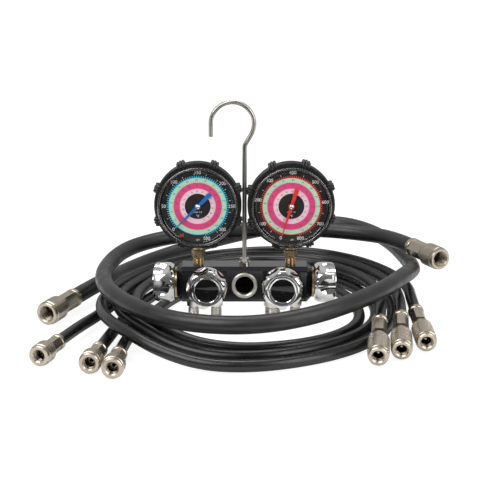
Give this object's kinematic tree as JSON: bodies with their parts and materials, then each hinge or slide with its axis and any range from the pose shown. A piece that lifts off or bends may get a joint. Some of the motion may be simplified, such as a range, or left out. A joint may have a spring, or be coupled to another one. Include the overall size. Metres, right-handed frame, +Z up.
{
  "type": "refrigerant manifold gauge",
  "caption": "Refrigerant service manifold block with hand valves, dial gauges in rubber boots, a swivel hook and coiled charging hoses.",
  "frame": {"origin": "middle of the manifold's footprint at the level of the port ends", "axes": "+X to the right seen from the dials, -Y out of the dials, +Z up along the hook"},
  "size_m": [0.4442, 0.4915, 0.234],
  "materials": {
    "black_anodised": "satin black anodised",
    "nickel": "polished nickel plate",
    "champagne_nickel": "satin nickel plate, warm",
    "sight_glass": "polished",
    "seal_rubber": "matte",
    "steel_wire": "drawn wire",
    "brass": "turned",
    "chrome": "polished",
    "badge_black": "gloss",
    "black_steel": "semi-gloss black",
    "dial": "printed matte",
    "clear_lens": "clear polycarbonate",
    "boot_rubber": "satin",
    "pointer_blue": "satin",
    "pointer_red": "satin",
    "hose_rubber": "semi-gloss"
  },
  "bodies": {
    "manifold": {"manifold_body": "black_anodised", "sight_glass_ring": "nickel", "sight_glass_lens": "sight_glass", "sight_glass_seal": "seal_rubber", "port_fittings": "nickel", "hook_bushing": "nickel", "low_valve_bonnet": "brass", "high_valve_bonnet": "brass", "vacuum_valve_bonnet": "brass", "charge_valve_bonnet": "brass", "low_gauge_case": "black_steel", "low_gauge_socket": "brass", "low_gauge_bourdon_tube": "brass", "low_gauge_movement": "brass", "low_gauge_dial": "dial", "low_gauge_lens": "clear_lens", "low_gauge_boot": "boot_rubber", "high_gauge_case": "black_steel", "high_gauge_socket": "brass", "high_gauge_bourdon_tube": "brass", "high_gauge_movement": "brass", "high_gauge_dial": "dial", "high_gauge_lens": "clear_lens", "high_gauge_boot": "boot_rubber", "suction_hose": "hose_rubber", "suction_hose_tails": "champagne_nickel", "outer_hose": "hose_rubber", "outer_hose_tails": "champagne_nickel", "middle_hose": "hose_rubber", "middle_hose_tails": "champagne_nickel", "inner_hose": "hose_rubber", "inner_hose_tails": "champagne_nickel"},
    "low_valve_handle": {"low_valve_spindle": "brass", "low_valve_knob": "chrome", "low_valve_badge": "badge_black"},
    "low_valve_plunger": {"low_valve_piston": "brass"},
    "high_valve_handle": {"high_valve_spindle": "brass", "high_valve_knob": "chrome", "high_valve_badge": "badge_black"},
    "high_valve_plunger": {"high_valve_piston": "brass"},
    "vacuum_valve_handle": {"vacuum_valve_spindle": "brass", "vacuum_valve_knob": "chrome", "vacuum_valve_badge": "badge_black"},
    "vacuum_valve_plunger": {"vacuum_valve_piston": "brass"},
    "charge_valve_handle": {"charge_valve_spindle": "brass", "charge_valve_knob": "chrome", "charge_valve_badge": "badge_black"},
    "charge_valve_plunger": {"charge_valve_piston": "brass"},
    "low_gauge_needle": {"low_gauge_pointer": "pointer_blue"},
    "high_gauge_needle": {"high_gauge_pointer": "pointer_red"},
    "hook": {"hook_rod": "steel_wire", "hook_collars": "nickel"},
    "suction_left_swivel": {"suction_left_nut": "champagne_nickel"},
    "suction_right_swivel": {"suction_right_nut": "champagne_nickel"},
    "outer_left_swivel": {"outer_left_nut": "champagne_nickel"},
    "outer_right_swivel": {"outer_right_nut": "champagne_nickel"},
    "middle_left_swivel": {"middle_left_nut": "champagne_nickel"},
    "middle_right_swivel": {"middle_right_nut": "champagne_nickel"},
    "inner_left_swivel": {"inner_left_nut": "champagne_nickel"},
    "inner_right_swivel": {"inner_right_nut": "champagne_nickel"}
  },
  "joints": [
    {"name": "low_valve_turn", "type": "hinge", "parent": "manifold", "child": "low_valve_handle", "pos_m": [-0.039, -0.00596, 0.0435], "axis": [0, -1, 0], "range_deg": [0, 720]},
    {"name": "low_valve_lift", "type": "slide", "parent": "manifold", "child": "low_valve_plunger", "axis": [0, -1, 0], "range_m": [0, 0.003]},
    {"name": "high_valve_turn", "type": "hinge", "parent": "manifold", "child": "high_valve_handle", "pos_m": [0.039, -0.00596, 0.0435], "axis": [0, -1, 0], "range_deg": [0, 720]},
    {"name": "high_valve_lift", "type": "slide", "parent": "manifold", "child": "high_valve_plunger", "axis": [0, -1, 0], "range_m": [0, 0.003]},
    {"name": "vacuum_valve_turn", "type": "hinge", "parent": "manifold", "child": "vacuum_valve_handle", "pos_m": [-0.071, 0.01304, 0.041], "axis": [-1, 0, 0], "range_deg": [0, 720]},
    {"name": "vacuum_valve_lift", "type": "slide", "parent": "manifold", "child": "vacuum_valve_plunger", "axis": [-1, 0, 0], "range_m": [0, 0.003]},
    {"name": "charge_valve_turn", "type": "hinge", "parent": "manifold", "child": "charge_valve_handle", "pos_m": [0.071, 0.01304, 0.041], "axis": [1, 0, 0], "range_deg": [0, 720]},
    {"name": "charge_valve_lift", "type": "slide", "parent": "manifold", "child": "charge_valve_plunger", "axis": [1, 0, 0], "range_m": [0, 0.003]},
    {"name": "low_gauge_sweep", "type": "hinge", "parent": "manifold", "child": "low_gauge_needle", "pos_m": [-0.0485, 0.00124, 0.125], "axis": [0, 1, 0], "range_deg": [-12, 300]},
    {"name": "high_gauge_sweep", "type": "hinge", "parent": "manifold", "child": "high_gauge_needle", "pos_m": [0.0485, 0.00124, 0.125], "axis": [0, 1, 0], "range_deg": [0, 327]},
    {"name": "hook_swivel", "type": "hinge", "parent": "manifold", "child": "hook", "pos_m": [0, 0.01304, 0.061], "axis": [0, 0, 1], "continuous": true},
    {"name": "suction_left_spin", "type": "hinge", "parent": "manifold", "child": "suction_left_swivel", "pos_m": [-0.207, -0.0128, 0.0131], "axis": [0.3743, 0.9263, 0.0436], "continuous": true},
    {"name": "suction_right_spin", "type": "hinge", "parent": "manifold", "child": "suction_right_swivel", "pos_m": [0.216, 0.0685, 0.052], "axis": [-0.4066, 0.9132, 0.0262], "continuous": true},
    {"name": "outer_left_spin", "type": "hinge", "parent": "manifold", "child": "outer_left_swivel", "pos_m": [-0.1944, -0.1469, 0.0111], "axis": [0.284, 0.9587, 0.0175], "continuous": true},
    {"name": "outer_right_spin", "type": "hinge", "parent": "manifold", "child": "outer_right_swivel", "pos_m": [0.1774, -0.1043, 0.011], "axis": [-0.0173, 0.9901, 0.1392], "continuous": true},
    {"name": "middle_left_spin", "type": "hinge", "parent": "manifold", "child": "middle_left_swivel", "pos_m": [-0.1444, -0.1686, 0.0111], "axis": [0.1132, 0.9935, -0.0087], "continuous": true},
    {"name": "middle_right_spin", "type": "hinge", "parent": "manifold", "child": "middle_right_swivel", "pos_m": [0.1497, -0.1297, 0.011], "axis": [0.1031, 0.9809, 0.165], "continuous": true},
    {"name": "inner_left_spin", "type": "hinge", "parent": "manifold", "child": "inner_left_swivel", "pos_m": [-0.1217, -0.1827, 0.0111], "axis": [0.0523, 0.9986, -0.0087], "continuous": true},
    {"name": "inner_right_spin", "type": "hinge", "parent": "manifold", "child": "inner_right_swivel", "pos_m": [0.1252, -0.1484, 0.011], "axis": [0.1198, 0.9759, 0.1822], "continuous": true}
  ],
  "couplings": [
    {"joint": "low_valve_lift", "follows": "low_valve_turn", "m_per_rad": 0.000238},
    {"joint": "high_valve_lift", "follows": "high_valve_turn", "m_per_rad": 0.000238},
    {"joint": "vacuum_valve_lift", "follows": "vacuum_valve_turn", "m_per_rad": 0.000238},
    {"joint": "charge_valve_lift", "follows": "charge_valve_turn", "m_per_rad": 0.000238}
  ]
}
